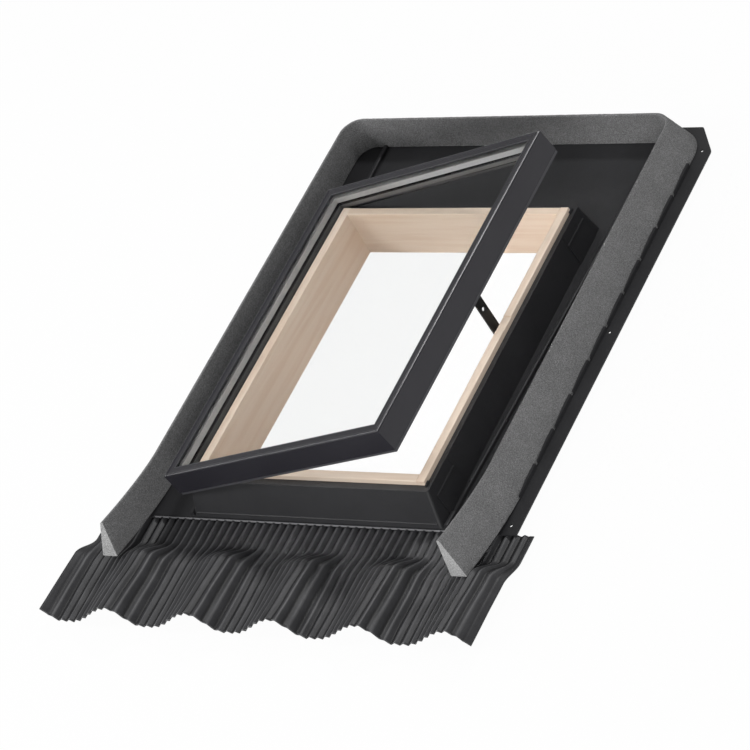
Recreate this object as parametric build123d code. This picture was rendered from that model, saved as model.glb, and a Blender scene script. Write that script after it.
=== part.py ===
from build123d import *

import os
from math import cos, pi, radians, sin

# Side-hung roof hatch with its flashing, shown with the sash part open.
#
# X runs along the eaves, Y up the roof slope and Z out of the roof. All lengths are
# millimetres. Pieces are drawn about the middle of the timber frame's underside, then moved
# together so that the origin is the middle of the whole part's underside.

# timber frame
CLEAR_WIDTH = 380.0
CLEAR_LENGTH = 505.0
BOARD = 14.0
FRAME_HEIGHT = 83.0
TONGUE = 5.0
RIM_ROUND = 1.2

# moulded flashing tray
SHEET = 2.5
PLATE_TOP = 19.5
PLATE_SIDE = 132.5
PLATE_HEAD_REACH = 216.0
PLATE_FOOT_LIP = 2.4
PLATE_CORNER_X = 34.0
PLATE_CORNER_Y = 50.0
HEAD_ROUND = 15.0
FOOT_ROUND = 4.0
UPSTAND_BELOW_RIM = 8.0
LAND_SIDE = 8.5
LAND_END = 11.5
SIDE_DRAFT = 7.8
FOOT_DRAFT = 22.6
HEAD_DRAFT = 10.0
UPSTAND_CORNER = 5.0
FRAME_GAP = 0.3
RIB_HEAD_OUT = 31.0
RIB_FOOT_OUT = 5.5
RIB_WIDTH = 7.0
RIB_HEIGHT = 6.0
BEAD_RISE = 9.0
BEAD_DEPTH = 0.9
SEAM_WIDTH = 1.0
SEAM_DEPTH = 0.8
NAIL_HOLE = 5.0
NAIL_EDGE = 16.0
NAIL_FOOT = 17.0
NAIL_HEAD = 50.0

# foam collar
FOAM_SIDE_IN = 50.5
FOAM_HEAD_IN = 34.0
FOAM_BASE = 28.0
FOAM_HEIGHT = 61.0
FOAM_FLAT = 4.5
FOAM_INSIDE_RADIUS = 27.0
FOAM_BEND_ABOVE_FOOT = 73.0
FOAM_BELOW_FOOT = 97.0
FOAM_LIFT = 24.5
FOAM_CUT_SLANT = 12.0
FOAM_STATIONS = 5
FIN_PITCH = 65.5
FIN_FROM_HEAD = 49.0
FIN_LENGTH = 60.0
FIN_BITE = 5.0
FIN_HEIGHT = 7.0

# pleated apron
APRON_WIDER = 37.0
APRON_BELOW_FOOT = 203.0
APRON_FLAT = 49.0
APRON_HUMP_BELOW = 83.0
APRON_TUCK = 14.0
PLEAT_PITCH = 14.7
PLEAT_RISE = 4.4
APRON_SHEET = 1.0
APRON_HEM = 8.0
TILE_WAVE = 150.0
TILE_CREST_X = 50.5
TILE_FALL = 45.0
TILE_PAN = 20.0
TROUGH_LIFT = 7.5
HUMP_RISE = 26.0
END_RISE = 35.0
CLAMP_HEIGHT = 1.6
CLAMP_DEPTH = 3.0

# sash, measured closed
SASH_SIDE_OVER = 17.0
SASH_END_OVER = 13.0
SASH_ABOVE_RIM = 20.0
DEPTH_HINGE_SIDE = 39.0
DEPTH_LEFT = 43.0
DEPTH_RIGHT = 45.5
SKIRT = 5.0
SKIRT_LIP = 4.5
LIP_INSET = 0.7
RIDGE = [(0, -3.0), (0.4, -1.2), (1.4, -0.3), (2.6, 0), (4.0, -0.3), (5.2, -1.1)]
TOP_FLANGE = 13.5
FLANGE_DROP = 1.3
FLANGE_SHEET = 1.3
REBATE_WALL = 9.0
REBATE_GAP = 1.0
SUPPORT_REACH = 21.0
SUPPORT_SHEET = 2.0
GASKET = 0.6
GASKET_LIP = 2.0
GASKET_PROUD = 0.3
PANE = 3.0
PANE_GAP = 9.6
SPACER_FACE = 20.5
SPACER_WIDTH = 7.0
SPACER_SEAL = 0.5
RIM_SEAL_WIDTH = 4.0
RIM_CLEARANCE = 0.3

# hinges on the left, blank covers on the right
HINGE_INSET = 8.5
HINGE_DROP = 32.0
OPEN_ANGLE = 15.0
POCKET_FROM_END = 36.5
POCKET_LENGTH = 57.0
POCKET_BELOW_TOP = 17.0
POCKET_GAP = 0.3
POCKET_THROUGH_RIB = 9.7
COVER_PROUD = 1.0
COVER_SHEET = 3.0
COVER_LIP = 1.2
COVER_BACK = 1.5
COVER_OVERLAP = 3.0
KNUCKLE_RADIUS = 4.0
KNUCKLE_LENGTH = 24.0
EAR = 6.0
EAR_GAP = 0.3
PIN_RADIUS = 2.3
PIN_CLEARANCE = 0.05
LEAF_SHEET = 2.5
LEAF_LENGTH = 44.0
LEAF_REACH = 16.0

# stay bar and its peg
STAY_Y = 35.0
STAY_WIDTH = 18.5
STAY_SHEET = 2.5
STAY_LENGTH = 146.0
STAY_FROM_JAMB = 4.8
STAY_PIVOT_DROP = 16.0
STAY_LEAN = 3.5
STAY_EYE = 3.5
STAY_HOLES = (59.0, 123.5)
STAY_HOLE = 7.0
STAY_EAR = 3.0
STAY_EAR_GAP = 0.6
STAY_RECESS = 0.5
STAY_RECESS_SIDE = 5.0
STAY_PIN = 1.8
PEG_RADIUS = 3.0
PEG_LENGTH = 6.0
PEG_BELOW_RIM = 35.0
PEG_PLATE = (2.0, 30.0, 22.0)
PEG_PLATE_ROUND = 4.0

# screws
SCREW_RADIUS = 1.6
SCREW_HEAD = 3.2
CORNER_SCREW = 34.0

# worked out from the sizes above
CLEAR_X = CLEAR_WIDTH / 2
CLEAR_Y = CLEAR_LENGTH / 2
FRAME_X = CLEAR_X + BOARD
FRAME_Y = CLEAR_Y + BOARD
UPSTAND_X = FRAME_X + LAND_SIDE
UPSTAND_TOP = FRAME_HEIGHT - UPSTAND_BELOW_RIM
POCKET_TOP = UPSTAND_TOP - POCKET_BELOW_TOP
UPSTAND_Y = FRAME_Y + LAND_END
UPSTAND_FOOT = -UPSTAND_Y - FOOT_DRAFT
UPSTAND_HEAD = UPSTAND_Y + HEAD_DRAFT
PLATE_BOTTOM = PLATE_TOP - SHEET
PLATE_X = UPSTAND_X + PLATE_SIDE
PLATE_HEAD = UPSTAND_Y + PLATE_HEAD_REACH
PLATE_FOOT = UPSTAND_FOOT - PLATE_FOOT_LIP
NAIL_X = PLATE_X - NAIL_EDGE
NAIL_FIRST = PLATE_FOOT + NAIL_FOOT
NAIL_LAST = PLATE_HEAD - NAIL_HEAD
NAIL_ROWS = (NAIL_FIRST, (NAIL_FIRST + NAIL_LAST) / 2, NAIL_LAST)
FOAM_INSIDE = PLATE_X - FOAM_SIDE_IN
FOAM_HEAD = PLATE_HEAD - FOAM_HEAD_IN
FOAM_BEND_START = PLATE_FOOT + FOAM_BEND_ABOVE_FOOT
FOAM_END = PLATE_FOOT - FOAM_BELOW_FOOT
FIN_FIRST = FOAM_HEAD - FIN_FROM_HEAD
FIN_COUNT = 1 + int((FIN_FIRST - FOAM_BEND_START) / FIN_PITCH)
APRON_X = PLATE_X + APRON_WIDER
APRON_END = PLATE_FOOT - APRON_BELOW_FOOT
PLEATS = round(2 * APRON_X / PLEAT_PITCH)
PLEAT = 2 * APRON_X / PLEATS
APRON_LEVEL = PLATE_BOTTOM - FRAME_GAP - PLEAT_RISE / 2
SASH_X = UPSTAND_X + SASH_SIDE_OVER
SASH_Y = UPSTAND_Y + SASH_END_OVER
SASH_TOP = FRAME_HEIGHT + SASH_ABOVE_RIM
FOOT_HINGE_SIDE = SASH_TOP - DEPTH_HINGE_SIDE
FOOT_LEFT = SASH_TOP - DEPTH_LEFT
FOOT_RIGHT = SASH_TOP - DEPTH_RIGHT
FLANGE_TOP = SASH_TOP - FLANGE_DROP
PANE_TOP = FLANGE_TOP - FLANGE_SHEET - GASKET
PANE_BOTTOM = PANE_TOP - 2 * PANE - PANE_GAP
SUPPORT_FOOT = PANE_BOTTOM - SUPPORT_SHEET
POCKET_Y = UPSTAND_Y - POCKET_FROM_END
HINGE_X = -SASH_X + HINGE_INSET
HINGE_Z = SASH_TOP - HINGE_DROP
STAY_PIVOT_X = CLEAR_X - STAY_FROM_JAMB
STAY_PIVOT_Z = SUPPORT_FOOT - STAY_PIVOT_DROP
PEG_Z = FRAME_HEIGHT - PEG_BELOW_RIM
CENTRE_Y = (PLATE_HEAD + APRON_END) / 2


def block(x0, x1, y0, y1, z0, z1):
    """A box between two corners."""
    return Pos((x0 + x1) / 2, (y0 + y1) / 2, (z0 + z1) / 2) * Box(x1 - x0, y1 - y0, z1 - z0)


def prism_y(points, y0, y1):
    """A prism along Y with an outline given in X and Z."""
    face = Plane.XZ * make_face(Polyline(*points, close=True))
    return Pos(0, y1, 0) * extrude(face, y1 - y0)


def rod_y(x, z, radius, y0, y1):
    """A round rod along Y."""
    return Pos(x, (y0 + y1) / 2, z) * Rot(90, 0, 0) * Cylinder(radius, y1 - y0)


def rod_x(y, z, radius, x0, x1):
    """A round rod along X."""
    return Pos((x0 + x1) / 2, y, z) * Rot(0, 90, 0) * Cylinder(radius, x1 - x0)


def ring(half_x, half_y, width, z0, z1):
    """A flat rectangular ring."""
    outside = block(-half_x, half_x, -half_y, half_y, z0, z1)
    inside = block(-half_x + width, half_x - width, -half_y + width, half_y - width, z0, z1)
    return outside - inside


def mirror_x(solid):
    return mirror(solid, about=Plane.YZ)


def wall_x(z):
    """Half width of the upstand's sloping side at a height."""
    return UPSTAND_X + SIDE_DRAFT * (UPSTAND_TOP - z) / (UPSTAND_TOP - PLATE_TOP)


def front_y(z):
    """Place of the upstand's sloping front at a height."""
    return -UPSTAND_Y - FOOT_DRAFT * (UPSTAND_TOP - z) / (UPSTAND_TOP - PLATE_TOP)


def corner_screws():
    """A countersunk screw through each jamb end into the head or the sill."""
    screws = []
    for y in (-CLEAR_Y - BOARD / 2, CLEAR_Y + BOARD / 2):
        side = Polyline((0, 0), (SCREW_HEAD, 0), (SCREW_RADIUS, -SCREW_HEAD),
                        (SCREW_RADIUS, -CORNER_SCREW), (0, -CORNER_SCREW), close=True)
        turned = revolve(Plane.XZ * make_face(side), Axis.Z)
        screw = Pos(FRAME_X, y, FRAME_HEIGHT / 2) * Rot(0, 90, 0) * turned
        screws += [screw, mirror_x(screw)]
    return screws


def timber_frame():
    """Four boards: the head and the sill are tongued into the jambs."""
    tongue_z0, tongue_z1 = FRAME_HEIGHT * 0.15, FRAME_HEIGHT * 0.8
    cross = block(-CLEAR_X, CLEAR_X, CLEAR_Y, FRAME_Y, 0, FRAME_HEIGHT)
    cross += block(-CLEAR_X - TONGUE, CLEAR_X + TONGUE, CLEAR_Y, FRAME_Y, tongue_z0, tongue_z1)
    jamb = block(CLEAR_X, FRAME_X, -FRAME_Y, FRAME_Y, 0, FRAME_HEIGHT)
    long_edges = jamb.edges().filter_by(Axis.Y)
    jamb = fillet(long_edges.group_by(Axis.Z)[-1], RIM_ROUND)
    cross = fillet(cross.edges().filter_by(Axis.X).group_by(Axis.Z)[-1], RIM_ROUND)
    screws = Compound(corner_screws())
    head = cross - screws
    sill = mirror(cross, about=Plane.XZ) - screws
    half = STAY_WIDTH / 2 + STAY_RECESS_SIDE
    recess = block(CLEAR_X - 1, FRAME_X + 1, STAY_Y - half, STAY_Y + half,
                   SUPPORT_FOOT - STAY_RECESS, FRAME_HEIGHT + 1)
    right = jamb - head - sill - screws - recess
    return {"frame_head": head, "frame_sill": sill, "frame_jamb_right": right,
            "frame_jamb_left": mirror_x(jamb) - head - sill - screws,
            "frame_screws": screws}


def foam_section(y, lift, slant):
    """The foam's section on the left strip: local X points outwards and local Y up."""
    outline = Polyline((0, 0), (FOAM_BASE, 0), (FOAM_FLAT - 0.5, FOAM_HEIGHT),
                       (-0.5, FOAM_HEIGHT), close=True)
    normal = (0, FOAM_HEIGHT, -slant)
    plane = Plane(origin=(-FOAM_INSIDE, y, PLATE_TOP + lift), x_dir=(-1, 0, 0), z_dir=normal)
    return plane * make_face(outline)


def fins(grow=0.0):
    """Small wedge fins of the tray that bite into the foam's outer foot, on the right."""
    outside = FOAM_INSIDE + FOAM_BASE + 1.0
    parts = []
    for k in range(FIN_COUNT):
        y = FIN_FIRST - k * FIN_PITCH
        tip = y - FIN_LENGTH - grow
        fin = Polyline((outside + grow, y + grow), (outside - 1.0 - FIN_BITE - grow, y + grow),
                       (outside - 1.0 - grow, tip), (outside + grow, tip), close=True)
        parts.append(Pos(0, 0, PLATE_TOP) * extrude(make_face(fin), FIN_HEIGHT + grow))
    return Compound(parts)


def foam_collar():
    """A foam wedge bent round the sides and the head, with ends that lift on to the apron."""
    side_top = FOAM_HEAD - FOAM_INSIDE_RADIUS
    head_end = FOAM_INSIDE - FOAM_INSIDE_RADIUS
    left_up = Line((-FOAM_INSIDE, FOAM_BEND_START, PLATE_TOP), (-FOAM_INSIDE, side_top, PLATE_TOP))
    left_arc = CenterArc((-head_end, side_top, PLATE_TOP), FOAM_INSIDE_RADIUS, 180, -90)
    across = Line((-head_end, FOAM_HEAD, PLATE_TOP), (head_end, FOAM_HEAD, PLATE_TOP))
    right_arc = CenterArc((head_end, side_top, PLATE_TOP), FOAM_INSIDE_RADIUS, 90, -90)
    down = Line((FOAM_INSIDE, side_top, PLATE_TOP), (FOAM_INSIDE, FOAM_BEND_START, PLATE_TOP))
    path = left_up + left_arc + across + right_arc + down
    collar = sweep(foam_section(FOAM_BEND_START, 0, 0), path=path)

    stations = []
    for k in range(FOAM_STATIONS):
        share = k / (FOAM_STATIONS - 1)
        y = FOAM_BEND_START + (FOAM_END - FOAM_BEND_START) * share
        stations.append(foam_section(y, FOAM_LIFT * share ** 1.5, FOAM_CUT_SLANT * share))
    end = loft(stations, ruled=True)
    collar = collar + end + mirror_x(end)
    bite = fins(FRAME_GAP)
    return collar - bite - mirror_x(bite)


def flashing_tray():
    """One moulding: flange plate, sloping upstand, water ribs, fins and hinge pockets."""
    edge, head, foot = PLATE_X, PLATE_HEAD, PLATE_FOOT
    outline = Polyline((-edge, foot), (edge, foot), (edge, head - PLATE_CORNER_Y),
                       (edge - PLATE_CORNER_X, head), (-edge + PLATE_CORNER_X, head),
                       (-edge, head - PLATE_CORNER_Y), close=True)
    plate = Pos(0, 0, PLATE_BOTTOM) * extrude(make_face(outline), SHEET)
    plate = fillet(plate.edges().filter_by(Axis.Z).group_by(Axis.Y)[1], HEAD_ROUND)
    plate = fillet(plate.edges().filter_by(Axis.Z).group_by(Axis.Y)[-1], FOOT_ROUND)

    def frustum(inset, z_top):
        middle = (UPSTAND_FOOT + UPSTAND_HEAD) / 2
        base = Rectangle(2 * (wall_x(PLATE_TOP) - inset), UPSTAND_HEAD - UPSTAND_FOOT - 2 * inset)
        top = Rectangle(2 * (UPSTAND_X - inset), 2 * (UPSTAND_Y - inset))
        return loft([Pos(0, middle, PLATE_BOTTOM) * base, Pos(0, 0, z_top) * top])

    upstand = frustum(0, UPSTAND_TOP)
    leaning = [e for e in upstand.edges() if abs(e.bounding_box().size.Z) > 1]
    upstand = fillet(leaning, UPSTAND_CORNER)
    tray = plate + upstand - frustum(SHEET, UPSTAND_TOP - SHEET)
    tray -= block(-FRAME_X - FRAME_GAP, FRAME_X + FRAME_GAP, -FRAME_Y - FRAME_GAP,
                  FRAME_Y + FRAME_GAP, 0, UPSTAND_TOP + 1)

    rib = water_rib()
    tray += rib + mirror_x(rib)

    z0, z1 = PLATE_TOP + BEAD_RISE - 2 * BEAD_DEPTH, PLATE_TOP + BEAD_RISE
    bead_end = wall_x(z1) - UPSTAND_CORNER
    nose = (front_y(z1) - BEAD_DEPTH, z1 - BEAD_DEPTH)
    bead = Polyline((front_y(z0) + 1, z0), (front_y(z0), z0), nose, (front_y(z1), z1),
                    (front_y(z1) + 1, z1), close=True)
    tray += Pos(-bead_end, 0, 0) * extrude(Plane.YZ * make_face(bead), 2 * bead_end)

    grip = fins()
    tray += grip + mirror_x(grip)
    for side in (-1, 1):
        for y in (-POCKET_Y, POCKET_Y):
            foot_x = wall_x(PLATE_TOP)
            pocket = block(FRAME_X + FRAME_GAP, foot_x + POCKET_THROUGH_RIB, y - POCKET_LENGTH / 2,
                           y + POCKET_LENGTH / 2, PLATE_TOP, POCKET_TOP)
            inner = y - POCKET_LENGTH / 2 if y > 0 else y + POCKET_LENGTH / 2
            seam = prism_y([(foot_x - SEAM_DEPTH, PLATE_TOP), (foot_x + 1, PLATE_TOP),
                            (UPSTAND_X + 1, UPSTAND_TOP), (UPSTAND_X - SEAM_DEPTH, UPSTAND_TOP)],
                           inner - SEAM_WIDTH / 2, inner + SEAM_WIDTH / 2)
            cut = pocket + seam
            tray -= cut if side > 0 else mirror_x(cut)
        for y in NAIL_ROWS:
            tray -= Pos(side * NAIL_X, y, PLATE_TOP) * Cylinder(NAIL_HOLE / 2, 4 * SHEET)
    return tray


def water_rib():
    """Rib on the right that leads water down beside the upstand and closes in towards the foot."""
    base = wall_x(PLATE_TOP)
    head, foot = base + RIB_HEAD_OUT, base + RIB_FOOT_OUT
    y1, y0 = FOAM_HEAD - FRAME_GAP, PLATE_FOOT + RIB_WIDTH
    half = RIB_WIDTH / 2
    outline = Polyline((foot - half, y0), (foot + half, y0), (head + half, y1),
                       (head - half, y1), close=True)
    rib = Pos(0, 0, PLATE_TOP) * extrude(make_face(outline), RIB_HEIGHT)
    top = rib.faces().sort_by(Axis.Z)[-1]
    return fillet([e for e in top.edges() if e.length > 2 * RIB_WIDTH], RIB_WIDTH / 3)


def pocket_back(y):
    """Flange of a right-hand pocket's filling, behind the wall and over the pocket's edges."""
    half = POCKET_LENGTH / 2 + COVER_OVERLAP
    z0, z1 = PLATE_BOTTOM, POCKET_TOP + COVER_OVERLAP
    near, far = SHEET + 2 * POCKET_GAP, SHEET + 2 * POCKET_GAP + COVER_BACK
    return prism_y([(wall_x(z0) - near, z0), (wall_x(z1) - near, z1), (wall_x(z1) - far, z1),
                    (wall_x(z0) - far, z0)], y - half, y + half)


def hinge_cover(y):
    """Blank cover in a right-hand pocket: a proud plate with a lip along its top."""
    z0, z1 = PLATE_TOP + POCKET_GAP, POCKET_TOP - POCKET_GAP
    z2 = z1 - COVER_SHEET
    deep = SHEET + 2 * POCKET_GAP + COVER_BACK / 2
    lip = COVER_PROUD + COVER_LIP
    points = [(wall_x(z0) + COVER_PROUD, z0), (wall_x(z2) + COVER_PROUD, z2),
              (wall_x(z2) + lip, z2 + COVER_LIP), (wall_x(z1) + lip, z1),
              (wall_x(z1) - deep, z1), (wall_x(z0) - deep, z0)]
    half = POCKET_LENGTH / 2 - POCKET_GAP
    return prism_y(points, y - half, y + half) + pocket_back(y)


def hinge_bracket(y):
    """Fixed half of a left-hand hinge: a pocket block with an arm up to its knuckle."""
    z0, z1 = PLATE_TOP + POCKET_GAP, POCKET_TOP - POCKET_GAP
    half = POCKET_LENGTH / 2 - POCKET_GAP
    deep = SHEET + 2 * POCKET_GAP + COVER_BACK / 2
    body = prism_y([(-wall_x(z0), z0), (-wall_x(z1), z1), (-wall_x(z1) + deep, z1),
                    (-wall_x(z0) + deep, z0)], y - half, y + half)
    reach = KNUCKLE_LENGTH / 2
    arm = prism_y([(-wall_x(z1 - 18), z1 - 18), (HINGE_X, z1 - 3), (HINGE_X, HINGE_Z),
                   (HINGE_X + KNUCKLE_RADIUS, HINGE_Z), (HINGE_X + KNUCKLE_RADIUS, z1 + 2),
                   (-wall_x(z1) + 1, z1 - 1)], y - reach, y + reach)
    knuckle = rod_y(HINGE_X, HINGE_Z, KNUCKLE_RADIUS, y - reach, y + reach)
    bore = rod_y(HINGE_X, HINGE_Z, PIN_RADIUS + PIN_CLEARANCE, y - half, y + half)
    return body + mirror_x(pocket_back(y)) + arm + knuckle - bore


def hinge_leaf(y):
    """Sash half of a hinge: a plate under the sash with two ears."""
    x0, x1 = -SASH_X + SKIRT + POCKET_GAP, -SASH_X + LEAF_REACH
    leaf = block(x0, x1, y - LEAF_LENGTH / 2, y + LEAF_LENGTH / 2,
                 SUPPORT_FOOT - LEAF_SHEET, SUPPORT_FOOT)
    for side in (-1, 1):
        near = y + side * (KNUCKLE_LENGTH / 2 + EAR_GAP)
        far = near + side * EAR
        y0, y1 = min(near, far), max(near, far)
        leaf += block(x0, HINGE_X + KNUCKLE_RADIUS, y0, y1, HINGE_Z, SUPPORT_FOOT - LEAF_SHEET / 2)
        leaf += rod_y(HINGE_X, HINGE_Z, KNUCKLE_RADIUS, y0, y1)
    return leaf - rod_y(HINGE_X, HINGE_Z, PIN_RADIUS, y - LEAF_LENGTH, y + LEAF_LENGTH)


def hinge_pin(y):
    """Pin that turns in the knuckle and is tight in the ears."""
    end = KNUCKLE_LENGTH / 2 + EAR_GAP + EAR
    return rod_y(HINGE_X, HINGE_Z, PIN_RADIUS, y - end, y + end)


def tile_wave(x):
    """Height of the tiles' surface across the roof, from 0 in the pan to 1 on the crest."""
    t = (x - TILE_CREST_X) % TILE_WAVE
    if t < TILE_FALL:
        return (1 + cos(pi * t / TILE_FALL)) / 2
    rise = TILE_WAVE - TILE_FALL - TILE_PAN
    share = max(0.0, (t - TILE_FALL - TILE_PAN) / rise)
    return (1 - cos(pi * share)) / 2


def apron_row(y, level, rise):
    """Points of the apron's upper side across the roof: folded up and down at every half pleat."""
    row = []
    for k in range(2 * PLEATS + 1):
        x = -APRON_X + k * PLEAT / 2
        in_hem = abs(x) > APRON_X - APRON_HEM
        fold = 0 if in_hem else (PLEAT_RISE / 2 if k % 2 else -PLEAT_RISE / 2)
        row.append((x, y, level + fold + rise * tile_wave(x)))
    return row


def pleated_apron():
    """Pleats run down the slope: flat under the tray, then dressed over the tile waves."""
    trough = APRON_LEVEL + TROUGH_LIFT
    upper = [apron_row(PLATE_FOOT + APRON_TUCK, APRON_LEVEL, 0),
             apron_row(PLATE_FOOT - APRON_FLAT, APRON_LEVEL, 0),
             apron_row(PLATE_FOOT - APRON_HUMP_BELOW, trough, HUMP_RISE),
             apron_row(APRON_END, trough, END_RISE)]
    lower = [[(x, y, z - APRON_SHEET) for x, y, z in row] for row in upper]
    faces = []
    for rows in (upper, lower):
        for near, far in zip(rows, rows[1:]):
            for k in range(2 * PLEATS):
                faces.append(flat_face(near[k], near[k + 1], far[k + 1]))
                faces.append(flat_face(near[k], far[k + 1], far[k]))
    for j in range(len(upper) - 1):
        for k in (0, -1):
            faces.append(flat_face(upper[j][k], upper[j + 1][k], lower[j + 1][k], lower[j][k]))
    for j in (0, -1):
        for k in range(2 * PLEATS):
            faces.append(flat_face(upper[j][k], upper[j][k + 1], lower[j][k + 1], lower[j][k]))
    return Solid(Shell(faces))


def flat_face(*corners):
    return Face(Wire.make_polygon(corners, close=True))


def apron_clamp():
    """Toothed strip on the plate's foot edge: one tooth over each pleat."""
    half = FOAM_INSIDE - FRAME_GAP
    y1 = PLATE_FOOT + PLATE_FOOT_LIP - POCKET_GAP
    strip = block(-half, half, y1 - CLAMP_DEPTH / 2, y1, PLATE_TOP, PLATE_TOP + CLAMP_HEIGHT)
    count = int(2 * half / PLEAT)
    teeth = [block(x - PLEAT / 3, x + PLEAT / 3, y1 - CLAMP_DEPTH, y1 - CLAMP_DEPTH / 2,
                   PLATE_TOP, PLATE_TOP + CLAMP_HEIGHT)
             for x in [(k - (count - 1) / 2) * PLEAT for k in range(count)]]
    return strip + teeth


def profile(half, foot):
    """Outline of a sash member at the given half width, down to its foot."""
    x, reach = -half, SUPPORT_REACH
    outline = [(x, foot)] + [(x + u, SASH_TOP + w) for u, w in RIDGE]
    return outline + [(x + TOP_FLANGE, FLANGE_TOP), (x + TOP_FLANGE, FLANGE_TOP - FLANGE_SHEET),
                      (x + REBATE_WALL, FLANGE_TOP - FLANGE_SHEET), (x + REBATE_WALL, PANE_BOTTOM),
                      (x + reach, PANE_BOTTOM), (x + reach, SUPPORT_FOOT), (x + SKIRT, SUPPORT_FOOT),
                      (x + SKIRT, foot)]


def slanted(rise):
    """Everything under the slanted foot line of the top and bottom members, plus a rise."""
    return prism_y([(-SASH_X - 1, 0), (SASH_X + 1, 0), (SASH_X + 1, FOOT_RIGHT + rise),
                    (-SASH_X - 1, FOOT_LEFT + rise)], -SASH_Y - 1, SASH_Y + 1)


def sash_members():
    """Four mitred lengths of one profile, closed."""
    def mitre(half, length):
        """Zone with 45 degree ends that keeps one member, reaching past its support."""
        reach = SUPPORT_REACH + 5
        zone = Polyline((-half, -length), (-half, length), (-half + reach, length - reach),
                        (-half + reach, -length + reach), close=True)
        return extrude(make_face(zone), SASH_TOP + 1)

    zone = mitre(SASH_X, SASH_Y)
    left = prism_y(profile(SASH_X, FOOT_HINGE_SIDE + SKIRT_LIP), -SASH_Y, SASH_Y) & zone
    right = prism_y(profile(SASH_X, FOOT_RIGHT + SKIRT_LIP), -SASH_Y, SASH_Y) & zone
    cross = prism_y(profile(SASH_Y, FOOT_RIGHT), -SASH_X, SASH_X) & mitre(SASH_Y, SASH_X)
    top = Rot(0, 0, -90) * cross - slanted(SKIRT_LIP)
    for y in (-POCKET_Y, POCKET_Y):
        left -= hinge_notch(y)
    return {"sash_left": left, "sash_right": mirror_x(right), "sash_top": top,
            "sash_bottom": mirror(top, about=Plane.XZ)}


def hinge_notch(y):
    """Room in the left skirt for a hinge bracket to pass as the sash swings."""
    half = POCKET_LENGTH / 2 + 1
    skirt = block(-SASH_X - 1, -SASH_X + SKIRT + 1, y - half, y + half, FOOT_LEFT - 1, HINGE_Z + 0.5)
    knuckle = block(HINGE_X - KNUCKLE_RADIUS - 0.5, HINGE_X, y - half, y + half,
                    HINGE_Z, SUPPORT_FOOT - 0.01)
    return skirt + knuckle


def skirt_lip():
    """Soft strip along the sash's lower edge, open at the hinges."""
    x, y, thick = SASH_X - LIP_INSET, SASH_Y - LIP_INSET, SKIRT - LIP_INSET
    cross = block(-x, x, y - thick, y, 0, SASH_TOP) & slanted(SKIRT_LIP)
    cross -= slanted(0)
    side = y - thick
    lip = block(-x, -x + thick, -side, side, FOOT_HINGE_SIDE, FOOT_HINGE_SIDE + SKIRT_LIP)
    lip += block(x - thick, x, -side, side, FOOT_RIGHT, FOOT_RIGHT + SKIRT_LIP)
    lip += cross + mirror(cross, about=Plane.XZ)
    for y in (-POCKET_Y, POCKET_Y):
        lip -= hinge_notch(y)
    return lip


def glazing():
    """Sealed double pane with its spacer, edge seal and gaskets, closed."""
    inset = REBATE_WALL + REBATE_GAP
    edge_x, edge_y = SASH_X - inset, SASH_Y - inset
    gap_top = PANE_TOP - PANE
    gap_foot = gap_top - PANE_GAP
    spacer_x = SASH_X - SPACER_FACE + SPACER_WIDTH
    spacer_y = SASH_Y - SPACER_FACE + SPACER_WIDTH
    spacer = ring(spacer_x, spacer_y, SPACER_WIDTH, gap_foot, gap_top - SPACER_SEAL)
    gasket = ring(edge_x, edge_y, TOP_FLANGE - inset, PANE_TOP, PANE_TOP + GASKET)
    gasket += ring(SASH_X - TOP_FLANGE, SASH_Y - TOP_FLANGE, GASKET_LIP,
                   PANE_TOP, FLANGE_TOP + GASKET_PROUD)
    rim_x = SASH_X - SUPPORT_REACH + RIM_SEAL_WIDTH
    rim_y = SASH_Y - SUPPORT_REACH + RIM_SEAL_WIDTH
    return {"outer_pane": block(-edge_x, edge_x, -edge_y, edge_y, gap_top, PANE_TOP),
            "inner_pane": block(-edge_x, edge_x, -edge_y, edge_y, PANE_BOTTOM, gap_foot),
            "spacer_bar": spacer,
            "edge_seal": ring(edge_x, edge_y, SPACER_FACE - inset, gap_foot, gap_top) - spacer,
            "glazing_gasket": gasket,
            "rim_seal": ring(rim_x, rim_y, RIM_SEAL_WIDTH, UPSTAND_TOP + RIM_CLEARANCE, SUPPORT_FOOT)}


def stay_bracket():
    """Tongue off the right side of the sash with two ears that carry the stay bar's pin."""
    half = STAY_WIDTH / 2 + EAR_GAP
    x0, x1 = STAY_PIVOT_X - STAY_EYE, CLEAR_X - STAY_EAR_GAP
    neck = x1 - STAY_EAR
    bracket = block(neck, SASH_X - SUPPORT_REACH, STAY_Y - half - STAY_EAR, STAY_Y + half + STAY_EAR,
                    SUPPORT_FOOT, PANE_BOTTOM)
    for side in (-1, 1):
        near = STAY_Y + side * half
        far = near + side * STAY_EAR
        y0, y1 = min(near, far), max(near, far)
        bracket += prism_y([(neck, PANE_BOTTOM), (x0, STAY_PIVOT_Z), (x1, STAY_PIVOT_Z),
                            (x1, PANE_BOTTOM)], y0, y1)
        bracket += rod_y(STAY_PIVOT_X, STAY_PIVOT_Z, STAY_EYE, y0, y1)
    return bracket - rod_y(STAY_PIVOT_X, STAY_PIVOT_Z, STAY_PIN, STAY_Y - 2 * half, STAY_Y + 2 * half)


def stay_pin():
    end = STAY_WIDTH / 2 + EAR_GAP + STAY_EAR
    return rod_y(STAY_PIVOT_X, STAY_PIVOT_Z, STAY_PIN, STAY_Y - end, STAY_Y + end)


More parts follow.
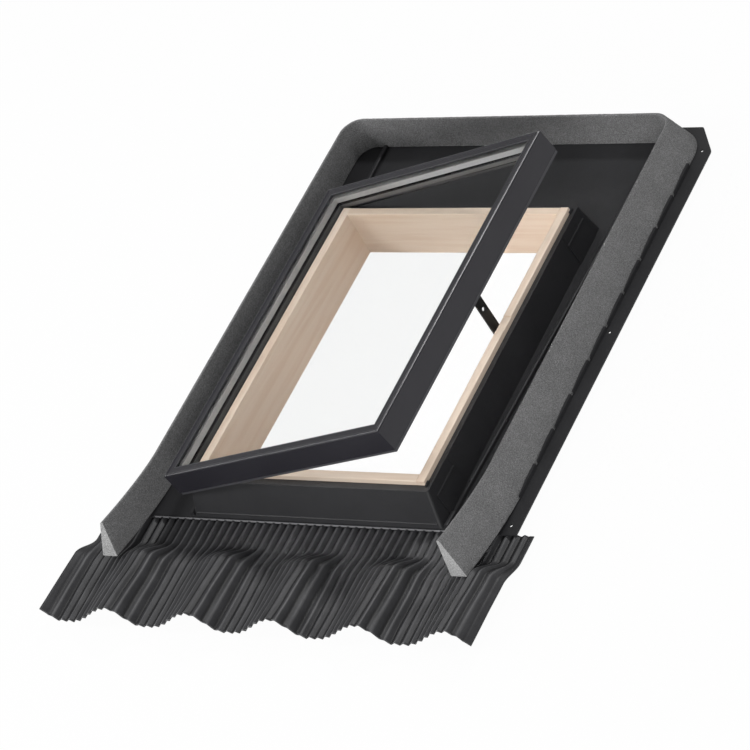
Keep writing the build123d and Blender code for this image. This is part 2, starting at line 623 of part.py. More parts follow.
def stay_bar(x, z):
    """Flat bar with peg holes that hangs from an eye at x and z, leaning towards the jamb."""
    y0, y1 = STAY_Y - STAY_WIDTH / 2, STAY_Y + STAY_WIDTH / 2
    bar = block(-STAY_SHEET / 2, STAY_SHEET / 2, y0, y1, -STAY_LENGTH, 0)
    bar = fillet(bar.edges().filter_by(Axis.X).group_by(Axis.Z)[0], STAY_WIDTH / 2 - 0.1)
    bar += rod_y(0, 0, STAY_EYE, y0, y1)
    bar -= rod_y(0, 0, STAY_PIN + PIN_CLEARANCE, y0 - 1, y1 + 1)
    for drop in STAY_HOLES:
        bar -= rod_x(STAY_Y, -drop, STAY_HOLE / 2, -STAY_SHEET, STAY_SHEET)
    return Pos(x, 0, z) * Rot(0, -STAY_LEAN, 0) * bar


def stay_peg():
    """Screw plate with a peg on the right jamb's inner face."""
    plate_x, plate_y, plate_z = PEG_PLATE
    plate = block(CLEAR_X - plate_x, CLEAR_X, STAY_Y - plate_y / 2, STAY_Y + plate_y / 2,
                  PEG_Z - plate_z / 2, PEG_Z + plate_z / 2)
    plate = fillet(plate.edges().filter_by(Axis.X), PEG_PLATE_ROUND)
    return plate + rod_x(STAY_Y, PEG_Z, PEG_RADIUS, CLEAR_X - PEG_LENGTH, CLEAR_X - plate_x / 2)


def open_sash(solid):
    """Turns a closed sash piece to the open angle about the hinge line."""
    return Pos(HINGE_X, 0, HINGE_Z) * Rot(0, -OPEN_ANGLE, 0) * Pos(-HINGE_X, 0, -HINGE_Z) * solid


def opened_point(x, z):
    """Where a point of the closed sash goes at the open angle."""
    a = radians(OPEN_ANGLE)
    dx, dz = x - HINGE_X, z - HINGE_Z
    return HINGE_X + dx * cos(a) - dz * sin(a), HINGE_Z + dx * sin(a) + dz * cos(a)


def build():
    nodes = dict(timber_frame())
    nodes["flashing_tray"] = flashing_tray()
    nodes["foam_collar"] = foam_collar()
    nodes["pleated_apron"] = pleated_apron()
    nodes["apron_clamp"] = apron_clamp()
    nodes["stay_peg"] = stay_peg()
    sash = dict(sash_members())
    sash.update(glazing())
    sash["skirt_lip"] = skirt_lip()
    sash["stay_bracket"] = stay_bracket()
    sash["stay_pin"] = stay_pin()
    for name, y in (("lower", -POCKET_Y), ("upper", POCKET_Y)):
        nodes["hinge_cover_" + name] = hinge_cover(y)
        nodes["hinge_bracket_" + name] = hinge_bracket(y)
        sash["hinge_leaf_" + name] = hinge_leaf(y)
        sash["hinge_pin_" + name] = hinge_pin(y)
    for name, solid in sash.items():
        nodes[name] = open_sash(solid)
    nodes["stay_bar"] = stay_bar(*opened_point(STAY_PIVOT_X, STAY_PIVOT_Z))
    return {name: Pos(0, -CENTRE_Y, 0) * solid for name, solid in nodes.items()}


os.makedirs("parts", exist_ok=True)
for node_name, node_solid in build().items():
    export_step(node_solid, "parts/" + node_name + ".step")
print("hinge line", HINGE_X, HINGE_Z, "stay pivot", opened_point(STAY_PIVOT_X, STAY_PIVOT_Z))
print("moved along Y by", -CENTRE_Y)
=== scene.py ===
import math

import bmesh
import bpy
from mathutils import Matrix, Vector, noise


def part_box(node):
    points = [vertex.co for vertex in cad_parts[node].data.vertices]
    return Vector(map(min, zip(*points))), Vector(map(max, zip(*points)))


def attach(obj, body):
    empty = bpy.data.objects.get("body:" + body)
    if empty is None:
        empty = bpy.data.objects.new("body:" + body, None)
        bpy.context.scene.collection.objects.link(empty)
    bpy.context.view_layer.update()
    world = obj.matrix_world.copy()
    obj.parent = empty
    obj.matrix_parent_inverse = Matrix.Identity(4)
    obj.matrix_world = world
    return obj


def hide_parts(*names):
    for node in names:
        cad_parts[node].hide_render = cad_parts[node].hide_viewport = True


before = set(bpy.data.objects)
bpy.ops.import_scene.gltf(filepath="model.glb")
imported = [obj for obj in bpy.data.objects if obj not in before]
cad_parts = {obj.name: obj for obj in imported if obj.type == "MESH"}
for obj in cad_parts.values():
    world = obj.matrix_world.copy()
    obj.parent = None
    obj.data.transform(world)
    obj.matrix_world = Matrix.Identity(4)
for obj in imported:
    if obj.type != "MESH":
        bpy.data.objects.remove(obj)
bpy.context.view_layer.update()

# Looks of the roof hatch: foam, pleated sheet, painted metal, glass and pine round the fixed frame.
# Lengths are millimetres from the middle of the timber frame's underside, with X along the eaves
# and Y up the slope. Points are turned into metres from the part's origin when a mesh is made.
scene = bpy.context.scene
MM = 0.001
Y_SHIFT = 6.0
WHITE = (1, 1, 1, 1)


# materials
def grey(level):
    return (level, level, level)


def material(name):
    """A new node material and its principled shader."""
    m = bpy.data.materials.new(name)
    m.use_nodes = True
    return m, m.node_tree.nodes, m.node_tree.links, m.node_tree.nodes["Principled BSDF"]


def coords(nodes, links, scale=(1, 1, 1)):
    """Object coordinates, scaled; the frame and the pieces share one origin."""
    where = nodes.new("ShaderNodeTexCoord")
    mapping = nodes.new("ShaderNodeMapping")
    mapping.inputs["Scale"].default_value = scale
    links.new(where.outputs["Object"], mapping.inputs["Vector"])
    return mapping.outputs["Vector"]


def noise_node(nodes, links, vector, scale, detail=4.0, rough=0.6, distortion=0.0):
    n = nodes.new("ShaderNodeTexNoise")
    n.inputs["Scale"].default_value = scale
    n.inputs["Detail"].default_value = detail
    n.inputs["Roughness"].default_value = rough
    n.inputs["Distortion"].default_value = distortion
    links.new(vector, n.inputs["Vector"])
    return n.outputs["Fac"]


def ramp(nodes, links, factor, stops):
    """Colours blended along a factor, each stop a position and a colour."""
    r = nodes.new("ShaderNodeValToRGB")
    while len(r.color_ramp.elements) < len(stops):
        r.color_ramp.elements.new(0.5)
    for element, (position, colour) in zip(r.color_ramp.elements, stops):
        element.position = position
        element.color = (*colour, 1)
    links.new(factor, r.inputs["Fac"])
    return r.outputs["Color"]


def multiplied(nodes, links, first, second):
    """Two colours multiplied."""
    mix = nodes.new("ShaderNodeMix")
    mix.data_type = "RGBA"
    mix.blend_type = "MULTIPLY"
    mix.inputs["Factor"].default_value = 1.0
    links.new(first, mix.inputs["A"])
    links.new(second, mix.inputs["B"])
    return mix.outputs["Result"]


def to_range(nodes, links, factor, low, high):
    """A factor from 0 to 1 spread from low to high."""
    n = nodes.new("ShaderNodeMapRange")
    n.inputs["To Min"].default_value = low
    n.inputs["To Max"].default_value = high
    links.new(factor, n.inputs["Value"])
    return n.outputs["Result"]


def bump(nodes, links, height, strength, distance, normal=None):
    b = nodes.new("ShaderNodeBump")
    b.inputs["Strength"].default_value = strength
    b.inputs["Distance"].default_value = distance
    links.new(height, b.inputs["Height"])
    if normal is not None:
        links.new(normal, b.inputs["Normal"])
    return b.outputs["Normal"]


def mottled(name, dark, light, rough, grain, grain_size, metallic=0.0):
    """Plastic, rubber or paint: cloudy colour, uneven gloss and a fine moulded grain."""
    m, nodes, links, shader = material(name)
    where = coords(nodes, links)
    cloud = noise_node(nodes, links, where, scale=9.0, detail=6.0)
    gloss = noise_node(nodes, links, where, scale=40.0)
    fine = noise_node(nodes, links, where, scale=grain_size, detail=3.0)
    links.new(ramp(nodes, links, cloud, [(0.35, dark), (0.65, light)]), shader.inputs["Base Color"])
    links.new(to_range(nodes, links, gloss, *rough), shader.inputs["Roughness"])
    links.new(bump(nodes, links, fine, strength=grain, distance=0.0006), shader.inputs["Normal"])
    shader.inputs["Metallic"].default_value = metallic
    return m


def foam_material(name, dark, middle, pale):
    """Open-celled grey foam with dark pores and pale flecks."""
    m, nodes, links, shader = material(name)
    where = coords(nodes, links)
    cells = nodes.new("ShaderNodeTexVoronoi")
    cells.inputs["Scale"].default_value = 480.0
    links.new(where, cells.inputs["Vector"])
    speck = noise_node(nodes, links, where, scale=640.0, detail=2.0, rough=0.75)
    cloud = noise_node(nodes, links, where, scale=22.0, detail=5.0)
    base = ramp(nodes, links, speck, [(0.36, dark), (0.50, middle), (0.64, pale)])
    shade = ramp(nodes, links, cloud, [(0.3, grey(0.82)), (0.7, grey(1.0))])
    links.new(multiplied(nodes, links, base, shade), shader.inputs["Base Color"])
    pits = bump(nodes, links, cells.outputs["Distance"], strength=0.6, distance=0.0010)
    flecks = bump(nodes, links, speck, strength=0.5, distance=0.0010, normal=pits)
    links.new(flecks, shader.inputs["Normal"])
    shader.inputs["Roughness"].default_value = 0.95
    shader.inputs["Specular IOR Level"].default_value = 0.25
    shader.inputs["Sheen Weight"].default_value = 0.10
    return m


def pine_material(name, along, seed):
    """Planed pine with growth rings stretched along one axis."""
    m, nodes, links, shader = material(name)
    stretch = [1.0, 1.0, 1.0]
    stretch[along] = 0.055
    shift = nodes.new("ShaderNodeVectorMath")
    shift.operation = "ADD"
    shift.inputs[1].default_value = (seed * 0.37, seed * 0.19, seed * 0.53)
    links.new(coords(nodes, links, stretch), shift.inputs[0])
    where = shift.outputs["Vector"]
    bend = noise_node(nodes, links, where, scale=14.0, detail=3.0, rough=0.5)
    rings = noise_node(nodes, links, where, scale=95.0, detail=2.0, rough=0.5, distortion=0.6)
    fibre = noise_node(nodes, links, where, scale=900.0, detail=2.0, rough=0.6)
    tone = ramp(nodes, links, rings, [(0.30, (0.800, 0.635, 0.505)), (0.50, (0.850, 0.705, 0.580)),
                                      (0.72, (0.880, 0.750, 0.630))])
    cast = ramp(nodes, links, bend, [(0.30, (0.93, 0.90, 0.86)), (0.70, grey(1.0))])
    links.new(multiplied(nodes, links, tone, cast), shader.inputs["Base Color"])
    links.new(to_range(nodes, links, fibre, low=0.42, high=0.6), shader.inputs["Roughness"])
    links.new(bump(nodes, links, fibre, strength=0.12, distance=0.0003), shader.inputs["Normal"])
    return m


def glass_material():
    """Clear thin glass with a slight haze, which lets light through almost unbent."""
    m, nodes, links, shader = material("clear_glass")
    shader.inputs["Base Color"].default_value = (0.962, 0.965, 0.964, 1)
    shader.inputs["Transmission Weight"].default_value = 1.0
    shader.inputs["IOR"].default_value = 1.02
    haze = noise_node(nodes, links, coords(nodes, links), scale=6.0, detail=3.0)
    links.new(to_range(nodes, links, haze, low=0.0, high=0.02), shader.inputs["Roughness"])
    return m


def spacer_material():
    """Pale, dull metal of the tube between the panes."""
    m, nodes, links, shader = material("spacer")
    fine = noise_node(nodes, links, coords(nodes, links), scale=300.0)
    tone = ramp(nodes, links, fine, [(0.3, grey(0.36)), (0.7, (0.46, 0.46, 0.455))])
    links.new(tone, shader.inputs["Base Color"])
    links.new(to_range(nodes, links, fine, low=0.42, high=0.55), shader.inputs["Roughness"])
    shader.inputs["Metallic"].default_value = 0.35
    return m


def apron_material():
    """Lacquered sheet, with a painted highlight on the folds' ridges and painted shade in their valleys."""
    m, nodes, links, shader = material("apron_sheet")
    where = coords(nodes, links)
    fold = nodes.new("ShaderNodeAttribute")
    fold.attribute_name = "fold"
    # colour by place in the pleat: painted shade in the valleys, a painted highlight on the ridges
    tone = ramp(nodes, links, fold.outputs["Fac"],
                [(0.06, (0.010, 0.010, 0.011)), (0.30, (0.036, 0.036, 0.039)),
                 (0.78, (0.050, 0.050, 0.054)), (0.97, (0.115, 0.115, 0.120))])
    cloud = noise_node(nodes, links, where, scale=30.0, detail=5.0)
    cast = ramp(nodes, links, cloud, [(0.35, grey(0.72)), (0.65, grey(1.0))])
    links.new(multiplied(nodes, links, tone, cast), shader.inputs["Base Color"])
    fine = noise_node(nodes, links, where, scale=1100.0, detail=3.0)
    links.new(to_range(nodes, links, fine, low=0.38, high=0.52), shader.inputs["Roughness"])
    links.new(bump(nodes, links, fine, strength=0.25, distance=0.0005), shader.inputs["Normal"])
    return m


def clamp_material():
    """Teeth along the outer edge of a dark strip, painted pale as a highlight on that edge; the edge is
    given in metres.
    """
    teeth_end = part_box("apron_clamp")[0][1] + 0.0015
    m, nodes, links, shader = material("clamp_strip")
    where = nodes.new("ShaderNodeTexCoord")
    split = nodes.new("ShaderNodeSeparateXYZ")
    links.new(where.outputs["Object"], split.inputs["Vector"])
    edge = nodes.new("ShaderNodeMapRange")
    edge.inputs["From Min"].default_value = teeth_end
    edge.inputs["From Max"].default_value = teeth_end + 0.0002
    links.new(split.outputs["Y"], edge.inputs["Value"])
    # the pale colour of the teeth is a painted highlight; the rest of the strip keeps the tray's dark
    # colour
    tone = ramp(nodes, links, edge.outputs["Result"],
                [(0.0, (0.26, 0.26, 0.27)), (1.0, (0.022, 0.022, 0.024))])
    links.new(tone, shader.inputs["Base Color"])
    fine = noise_node(nodes, links, where.outputs["Object"], scale=900.0)
    links.new(to_range(nodes, links, fine, low=0.35, high=0.5), shader.inputs["Roughness"])
    return m


TRAY = mottled("tray_plastic", (0.0220, 0.0220, 0.0240), (0.0290, 0.0290, 0.0315),
               rough=(0.40, 0.54), grain=0.22, grain_size=1500.0)
SASH = mottled("sash_paint", (0.0215, 0.0205, 0.0262), (0.0255, 0.0245, 0.0305),
               rough=(0.22, 0.28), grain=0.08, grain_size=2400.0)
GREY_SEAL = mottled("grey_seal", (0.105, 0.105, 0.104), (0.150, 0.150, 0.148),
                    rough=(0.55, 0.7), grain=0.2, grain_size=1200.0)
GASKET = mottled("gasket_rubber", (0.040, 0.041, 0.045), (0.060, 0.061, 0.066),
                 rough=(0.5, 0.7), grain=0.2, grain_size=1200.0)
LIP = mottled("lip_rubber", (0.050, 0.050, 0.056), (0.070, 0.070, 0.078),
              rough=(0.45, 0.6), grain=0.2, grain_size=1200.0)
STEEL = mottled("black_steel", (0.012, 0.012, 0.013), (0.020, 0.020, 0.022),
                rough=(0.34, 0.5), grain=0.2, grain_size=900.0, metallic=0.4)
ZINC = mottled("zinc_steel", (0.42, 0.42, 0.43), (0.60, 0.60, 0.60),
               rough=(0.25, 0.45), grain=0.2, grain_size=1200.0, metallic=1.0)
FOAM = foam_material("foam", (0.130, 0.130, 0.132), (0.205, 0.205, 0.207), (0.310, 0.310, 0.312))
FOAM_CUT = foam_material("foam_cut", grey(0.30), grey(0.43), grey(0.56))
APRON = apron_material()
SPACER = spacer_material()
GLASS = glass_material()
CLAMP = clamp_material()
PINE_Y = pine_material("pine_jamb", along=1, seed=1.0)
PINE_X = pine_material("pine_head", along=0, seed=2.0)

LOOKS = (
    (PINE_X, "frame_head", "frame_sill"),
    (PINE_Y, "frame_jamb_left", "frame_jamb_right"),
    (TRAY, "flashing_tray", "hinge_cover_lower", "hinge_cover_upper",
     "hinge_bracket_lower", "hinge_bracket_upper"),
    (FOAM, "foam_collar"),
    (APRON, "pleated_apron"),
    (CLAMP, "apron_clamp"),
    (SASH, "sash_left", "sash_right", "sash_top", "sash_bottom"),
    (GLASS, "outer_pane", "inner_pane"),
    (SPACER, "spacer_bar"),
    (GREY_SEAL, "edge_seal", "rim_seal"),
    (GASKET, "glazing_gasket"),
    (LIP, "skirt_lip"),
    (STEEL, "stay_peg", "stay_bracket", "stay_pin", "stay_bar", "hinge_leaf_lower", "hinge_leaf_upper"),
    (ZINC, "frame_screws", "hinge_pin_lower", "hinge_pin_upper"),
)
for look, *names in LOOKS:
    for name in names:
        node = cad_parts[name]
        node.data.materials.clear()
        node.data.materials.append(look)


# meshes
def mesh_object(name, vertices, faces, look, smooth=True):
    """A new object in the scene, from points in metres."""
    mesh = bpy.data.meshes.new(name)
    mesh.from_pydata(vertices, [], faces)
    mesh.materials.append(look)
    for polygon in mesh.polygons:
        polygon.use_smooth = smooth
    mesh.update()
    o = bpy.data.objects.new(name, mesh)
    scene.collection.objects.link(o)
    return o


def grid_faces(rows, columns, closed_columns=False):
    """Faces between neighbouring rows of points, with the last column joined to the first or not."""
    faces = []
    for i in range(rows - 1):
        for j in range(columns if closed_columns else columns - 1):
            k = (j + 1) % columns
            faces.append((i * columns + j, i * columns + k, (i + 1) * columns + k, (i + 1) * columns + j))
    return faces


def recalculated(o):
    """Turns all of a mesh's faces outwards."""
    bm = bmesh.new()
    bm.from_mesh(o.data)
    bmesh.ops.recalc_face_normals(bm, faces=bm.faces)
    bm.to_mesh(o.data)
    bm.free()


# foam collar: a rounded wedge swept round the hatch
PLATE_TOP = 19.5
FOAM_IN = 294.5
FOAM_HEAD = 460.0
FOAM_BASE = 28.0
FOAM_HIGH = 61.0
FOAM_FLAT = 4.5
FOAM_R = 27.0
FOAM_BEND = -230.0
FOAM_END = -400.0
FOAM_LIFT = 24.5
FOAM_LIFT_POWER = 1.5
FOAM_SLANT = 12.0
# distances between the wedge's outline and the solid's: at the foot's sides, under it, and at the top
FOAM_FOOT_IN = 0.4
FOAM_FOOT_UP = 0.3
FOAM_TOP_IN = 0.5
FOAM_TOP_OUT = 0.1
FOAM_ROUND = 1.6
FOAM_ROUND_STEPS = 3
FOAM_CORNER_STEPS = 18
LARGEST_CUT = 0.45
CELL = 3.0
# unevenness of the foam: how fast it changes per millimetre, and how far it goes
SWELL = (0.16, 0.35)
PORES = (0.9, 0.22)
JITTER = (0.7, 0.15)
ROUGH_SHARE = 0.5


def foam_path():
    """Points of the inner foot with their outward direction, lift and slant, from left end to right end."""
    half = []
    y = FOAM_END
    while y < FOAM_HEAD - FOAM_R:
        share = max(0.0, (FOAM_BEND - y) / (FOAM_BEND - FOAM_END))
        half.append((-FOAM_IN, y, (-1.0, 0.0), FOAM_LIFT * share ** FOAM_LIFT_POWER, FOAM_SLANT * share))
        y += CELL
    for k in range(FOAM_CORNER_STEPS + 1):
        a = math.pi - k / FOAM_CORNER_STEPS * math.pi / 2
        x = -FOAM_IN + FOAM_R + FOAM_R * math.cos(a)
        y = FOAM_HEAD - FOAM_R + FOAM_R * math.sin(a)
        half.append((x, y, (math.cos(a), math.sin(a)), 0.0, 0.0))
    x = -FOAM_IN + FOAM_R + CELL
    while x < 0:
        half.append((x, FOAM_HEAD, (0.0, 1.0), 0.0, 0.0))
        x += CELL
    mirrored = [(-px, py, (-nx, ny), lift, slant) for px, py, (nx, ny), lift, slant in reversed(half)]
    return half + mirrored


def rounded(points, radius, steps):
    """A closed outline with each corner rounded."""
    out = []
    count = len(points)
    for k in range(count):
        p, q, r = Vector(points[k - 1]), Vector(points[k]), Vector(points[(k + 1) % count])
        a, b = (p - q).normalized(), (r - q).normalized()
        cut = min(radius, (p - q).length * LARGEST_CUT, (r - q).length * LARGEST_CUT)
        start, end = q + a * cut, q + b * cut
        for s in range(steps + 1):
            t = s / steps
            out.append(start * (1 - t) ** 2 + q * 2 * t * (1 - t) + end * t ** 2)
    return out


def refined(points, step):
    """The same closed outline with points about a step apart."""
    out = []
    for k, p in enumerate(points):
        q = points[(k + 1) % len(points)]
        parts = max(1, round((q - p).length / step))
        out += [p.lerp(q, s / parts) for s in range(parts)]
    return out


def foam_piece():
    """The wedge with uneven faces and two cut ends."""
    corners = [(FOAM_FOOT_IN, FOAM_FOOT_UP), (FOAM_BASE - FOAM_FOOT_IN, FOAM_FOOT_UP),
               (FOAM_FLAT - FOAM_TOP_IN, FOAM_HIGH), (-FOAM_TOP_OUT, FOAM_HIGH)]
    section = refined(rounded(corners, FOAM_ROUND, FOAM_ROUND_STEPS), CELL)
    path = foam_path()
    vertices = []
    for px, py, (nx, ny), lift, slant in path:
        for p in section:
            y = py + ny * p.x + Y_SHIFT + slant * p.y / FOAM_HIGH
            vertices.append(Vector((px + nx * p.x, y, PLATE_TOP + lift + p.y)))
    for v in vertices:
        rough = noise.noise(v * SWELL[0]) * SWELL[1] + noise.noise(v * PORES[0]) * PORES[1]
        v += noise.noise_vector(v * JITTER[0]) * JITTER[1] + Vector((rough, rough, rough)) * ROUGH_SHARE
    count = len(section)
    faces = grid_faces(len(path), count, True)
    faces.append(tuple(range(count)))
    faces.append(tuple(reversed(range((len(path) - 1) * count, len(path) * count))))
    o = mesh_object("foam_wedge", [v * MM for v in vertices], faces, FOAM)
    o.data.materials.append(FOAM_CUT)
    for cut in list(o.data.polygons)[-2:]:
        cut.material_index = 1
        cut.use_smooth = False
    recalculated(o)
    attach(o, "frame")
    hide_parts("foam_collar")


# pleated apron: the folded sheet with rounded pleats, dressed over the tile waves
APRON_X = 382.0
APRON_NEAR = -289.0
APRON_CORNER = -299.0
APRON_FLAT = -346.0
APRON_HUMP = -394.0
APRON_FAR = -506.0
APRON_LEVEL = 14.5
APRON_SHEET = 1.0
APRON_HEM = 8.0
APRON_GATHER = 11.0
UNDER_TRAY_X = 343.0
PLEATS = 52
PLEAT_RISE = 4.4
FOLD_ROUND = 0.35
COLUMNS_PER_PLEAT = 8
APRON_ROWS = 63
TILE_WAVE = 150.0
TILE_CREST = 50.5
TILE_FALL = 45.0
TILE_PAN = 20.0
TROUGH_LIFT = 7.5
HUMP_RISE = 26.0
END_RISE = 35.0
STRAIGHT_SHARE = 0.25
# hand-dressed unevenness: pleats that wander sideways, pleats of unequal height, a level that wavers
WANDER = 1.1
WANDER_FROM = -300
WANDER_OVER = 60
UNEQUAL = 0.22
WAVER = 0.7
WAVER_FROM = -330
WAVER_OVER = 40


def tile_wave(x):
    """Height of the tiles across the roof, from 0 in the pan to 1 on the crest."""
    t = (x - TILE_CREST) % TILE_WAVE
    if t < TILE_FALL:
        return (1 + math.cos(math.pi * t / TILE_FALL)) / 2
    share = max(0.0, (t - TILE_FALL - TILE_PAN) / (TILE_WAVE - TILE_FALL - TILE_PAN))
    return (1 - math.cos(math.pi * share)) / 2


def pleat_wave(x):
    """A rounded zigzag from -1 to 1 across the pleats, flat in the hems."""
    if abs(x) > APRON_X - APRON_HEM:
        return 0.0
    t = (x + APRON_X) * PLEATS / (2 * APRON_X)
    zigzag = 1 - 4 * abs((t % 1.0) - 0.5)
    return -math.sin(zigzag * math.pi / 2) * FOLD_ROUND - zigzag * (1 - FOLD_ROUND)


def blend_step(t):
    """A smooth step from 0 to 1."""
    t = min(1.0, max(0.0, t))
    return t * t * (3 - 2 * t)


def apron_level(x, y):
    """Middle height of the sheet: flat, then a crease and a rise on to the hump, then down to the end."""
    trough = APRON_LEVEL + TROUGH_LIFT
    if y > APRON_FLAT:
        return APRON_LEVEL
    if y > APRON_HUMP:
        share = (APRON_FLAT - y) / (APRON_FLAT - APRON_HUMP)
        climb = STRAIGHT_SHARE * share + (1 - STRAIGHT_SHARE) * blend_step(share)
        return APRON_LEVEL + (TROUGH_LIFT + HUMP_RISE * tile_wave(x)) * climb
    share = (APRON_HUMP - y) / (APRON_HUMP - APRON_FAR)
    return trough + (HUMP_RISE + (END_RISE - HUMP_RISE) * share) * tile_wave(x)


def sheet_noise(x, y, per_x, per_y, layer):
    """Smooth noise from -1 to 1 over the sheet; each use has a layer of its own."""
    return noise.noise(Vector((x * per_x, y * per_y, layer)))


def apron_point(across, along):
    """A point of the sheet's upper skin, by its shares of the width and of the length."""
    x = -APRON_X + 2 * APRON_X * across
    near = APRON_NEAR if abs(x) < UNDER_TRAY_X else APRON_CORNER
    y = near - (near - APRON_FAR) * along
    wander = sheet_noise(x, y, per_x=0.012, per_y=0.02, layer=4.0) * WANDER
    wander *= blend_step((WANDER_FROM - y) / WANDER_OVER)
    unequal = 1.0 + UNEQUAL * sheet_noise(x, y, per_x=0.05, per_y=0.03, layer=9.0)
    waver = sheet_noise(x, y, per_x=0.02, per_y=0.02, layer=1.0) * WAVER
    waver *= blend_step((WAVER_FROM - y) / WAVER_OVER)
    z = apron_level(x, y) + PLEAT_RISE / 2 * pleat_wave(x) * unequal + waver
    x = min(APRON_X, max(-APRON_X, x + wander - APRON_GATHER * across))
    return Vector((x, y + Y_SHIFT, z))


def apron_piece():
    """The sheet with two skins and an edge all round."""
    rows = APRON_ROWS
    columns = PLEATS * COLUMNS_PER_PLEAT + 1
    shares = [j / (columns - 1) for j in range(columns)]
    upper = [apron_point(across, i / (rows - 1)) for i in range(rows) for across in shares]
    lower = [v - Vector((0, 0, APRON_SHEET)) for v in upper]
    # place in the pleat, 0 in the valleys and 1 on the ridges; it drives the sheet's painted shade and
    # painted highlight
    fold = [0.5 + 0.5 * pleat_wave(-APRON_X + 2 * APRON_X * across) for across in shares]
    faces = grid_faces(rows, columns)
    under = rows * columns
    faces += [tuple(under + v for v in reversed(f)) for f in faces]
    rim = list(range(columns)) + [i * columns + columns - 1 for i in range(1, rows)]
    rim += [rows * columns - 1 - j for j in range(1, columns)]
    rim += [i * columns for i in range(rows - 2, 0, -1)]
    for k, a in enumerate(rim):
        b = rim[(k + 1) % len(rim)]
        faces.append((b, a, under + a, under + b))
    o = mesh_object("pleated_sheet", [v * MM for v in upper + lower], faces, APRON)
    shade = o.data.attributes.new("fold", "FLOAT", "POINT")
    shade.data.foreach_set("value", fold * (2 * rows))
    recalculated(o)
    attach(o, "frame")
    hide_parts("pleated_apron")


# corner clips: small moulded tabs of the tray that grip the timber frame's corners
CLIP_LONG = 9.5
CLIP_WIDE = 3.6
CLIP_HIGH = 4.0
CLIP_ROUND = 0.6
CLIP_LEAN = 0.8
CLIP_X = 204.4
CLIP_Y = 269.6
RIM_TOP = 75.0


def corner_clip(side, end):
    """One tab on the tray's rim, at the left (-1) or right (1) and the lower (-1) or upper (1) end."""
    x = side * (CLIP_X + CLIP_WIDE / 2)
    y = end * (CLIP_Y - CLIP_LONG / 2) + Y_SHIFT
    bm = bmesh.new()
    bmesh.ops.create_cube(bm, size=1.0)
    for v in bm.verts:
        lean = CLIP_LEAN if v.co.z > 0 and v.co.x * side > 0 else 0.0
        z = RIM_TOP + CLIP_HIGH / 2 + v.co.z * CLIP_HIGH
        v.co = Vector((x + v.co.x * CLIP_WIDE - side * lean, y + v.co.y * CLIP_LONG, z)) * MM
    bmesh.ops.bevel(bm, geom=bm.edges[:], offset=CLIP_ROUND * MM, segments=2, affect="EDGES")
    mesh = bpy.data.meshes.new("corner_clip")
    bm.to_mesh(mesh)
    bm.free()
    mesh.materials.append(TRAY)
    place = ("left" if side < 0 else "right") + ("_lower" if end < 0 else "_upper")
    o = bpy.data.objects.new("corner_clip_" + place, mesh)
    scene.collection.objects.link(o)
    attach(o, "frame")


foam_piece()
apron_piece()
for clip_side in (-1, 1):
    for clip_end in (-1, 1):
        corner_clip(clip_side, clip_end)

# camera, in metres; its axes are given in the part's frame
CAMERA_LENS = 198.479
CAMERA_RIGHT = (0.81179054, 0.40437769, -0.42127758)
CAMERA_UP = (-0.02010622, 0.74035715, 0.67191297)
CAMERA_BACK = (0.58360248, -0.53698229, 0.60914544)
CAMERA_PLACE = (3.514735, -3.277611, 3.728246)

camera = bpy.data.objects.new("camera", bpy.data.cameras.new("camera"))
scene.collection.objects.link(camera)
camera.data.lens = CAMERA_LENS
camera.data.sensor_width = 36.0
camera.data.clip_start, camera.data.clip_end = 0.1, 60.0
rows = zip(CAMERA_RIGHT, CAMERA_UP, CAMERA_BACK, CAMERA_PLACE)
camera.matrix_world = Matrix((*rows, (0, 0, 0, 1)))
scene.camera = camera

# light and floor, in metres: white where the camera or the glass looks at them, dimmer as a light source
AMBIENT = 0.30
FLOOR_GLOW = 0.97
FLOOR_HALF = 9
LAMP_TARGET = (0, 0, 0.1)
LAMPS = {
    # name: place, size, power
    "key": ((1.7, -3.4, 1.7), 1.4, 70),
    "top": ((-1.97, -1.48, 2.33), 0.9, 34),
    "side": ((-2.75, -0.96, 1.34), 0.8, 20),
    "ridge": ((0.9, 2.0, 3.0), 0.5, 32),
}


def looked_at(nodes, links):
    """1 for rays that come from the camera or through the glass, and 0 for the rest."""
    ray = nodes.new("ShaderNodeLightPath")
    either = nodes.new("ShaderNodeMath")
    either.operation = "MAXIMUM"
    links.new(ray.outputs["Is Camera Ray"], either.inputs[0])
    links.new(ray.outputs["Is Transmission Ray"], either.inputs[1])
    return either.outputs[0]


def mixed(nodes, links, factor, first, second):
    """Two shaders mixed by a factor."""
    mix = nodes.new("ShaderNodeMixShader")
    links.new(factor, mix.inputs["Fac"])
    links.new(first, mix.inputs[1])
    links.new(second, mix.inputs[2])
    return mix.outputs[0]


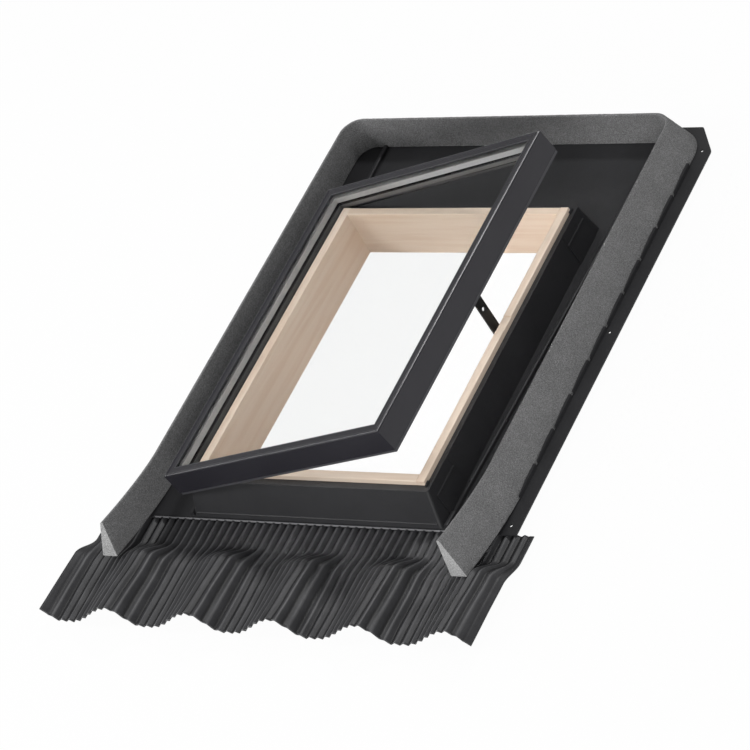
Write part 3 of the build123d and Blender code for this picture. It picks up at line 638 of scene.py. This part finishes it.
def background(nodes, strength):
    shader = nodes.new("ShaderNodeBackground")
    shader.inputs["Color"].default_value = WHITE
    shader.inputs["Strength"].default_value = strength
    return shader.outputs[0]


def studio():
    """The white surroundings."""
    world = bpy.data.worlds.new("studio")
    scene.world = world
    world.use_nodes = True
    nodes, links = world.node_tree.nodes, world.node_tree.links
    for n in list(nodes):
        nodes.remove(n)
    dim, bright = background(nodes, AMBIENT), background(nodes, 1.0)
    shader = mixed(nodes, links, looked_at(nodes, links), dim, bright)
    links.new(shader, nodes.new("ShaderNodeOutputWorld").inputs["Surface"])


def lamp(name, place, size, power):
    """A round area lamp that faces the hatch."""
    data = bpy.data.lights.new(name, "AREA")
    data.shape = "DISK"
    data.size = size
    data.energy = power
    o = bpy.data.objects.new(name, data)
    o.location = place
    o.rotation_mode = "QUATERNION"
    o.rotation_quaternion = (Vector(place) - Vector(LAMP_TARGET)).to_track_quat("Z", "Y")
    scene.collection.objects.link(o)


def floor():
    """A pale floor that glows where it is looked at."""
    m, nodes, links, shader = material("pale_floor")
    shader.inputs["Base Color"].default_value = (0.80, 0.80, 0.80, 1)
    shader.inputs["Roughness"].default_value = 0.9
    glow = nodes.new("ShaderNodeEmission")
    glow.inputs["Color"].default_value = WHITE
    glow.inputs["Strength"].default_value = 1.0
    share = nodes.new("ShaderNodeMath")
    share.operation = "MULTIPLY"
    share.inputs[1].default_value = FLOOR_GLOW
    links.new(looked_at(nodes, links), share.inputs[0])
    surface = mixed(nodes, links, share.outputs[0], shader.outputs[0], glow.outputs[0])
    links.new(surface, nodes["Material Output"].inputs["Surface"])
    corners = [(-FLOOR_HALF, -FLOOR_HALF, 0), (FLOOR_HALF, -FLOOR_HALF, 0),
               (FLOOR_HALF, FLOOR_HALF, 0), (-FLOOR_HALF, FLOOR_HALF, 0)]
    o = mesh_object("floor", corners, [(0, 1, 2, 3)], m, smooth=False)


scene.view_settings.view_transform = "Standard"
studio()
for lamp_name, (lamp_place, lamp_size, lamp_power) in LAMPS.items():
    lamp(lamp_name, lamp_place, lamp_size, lamp_power)
floor()
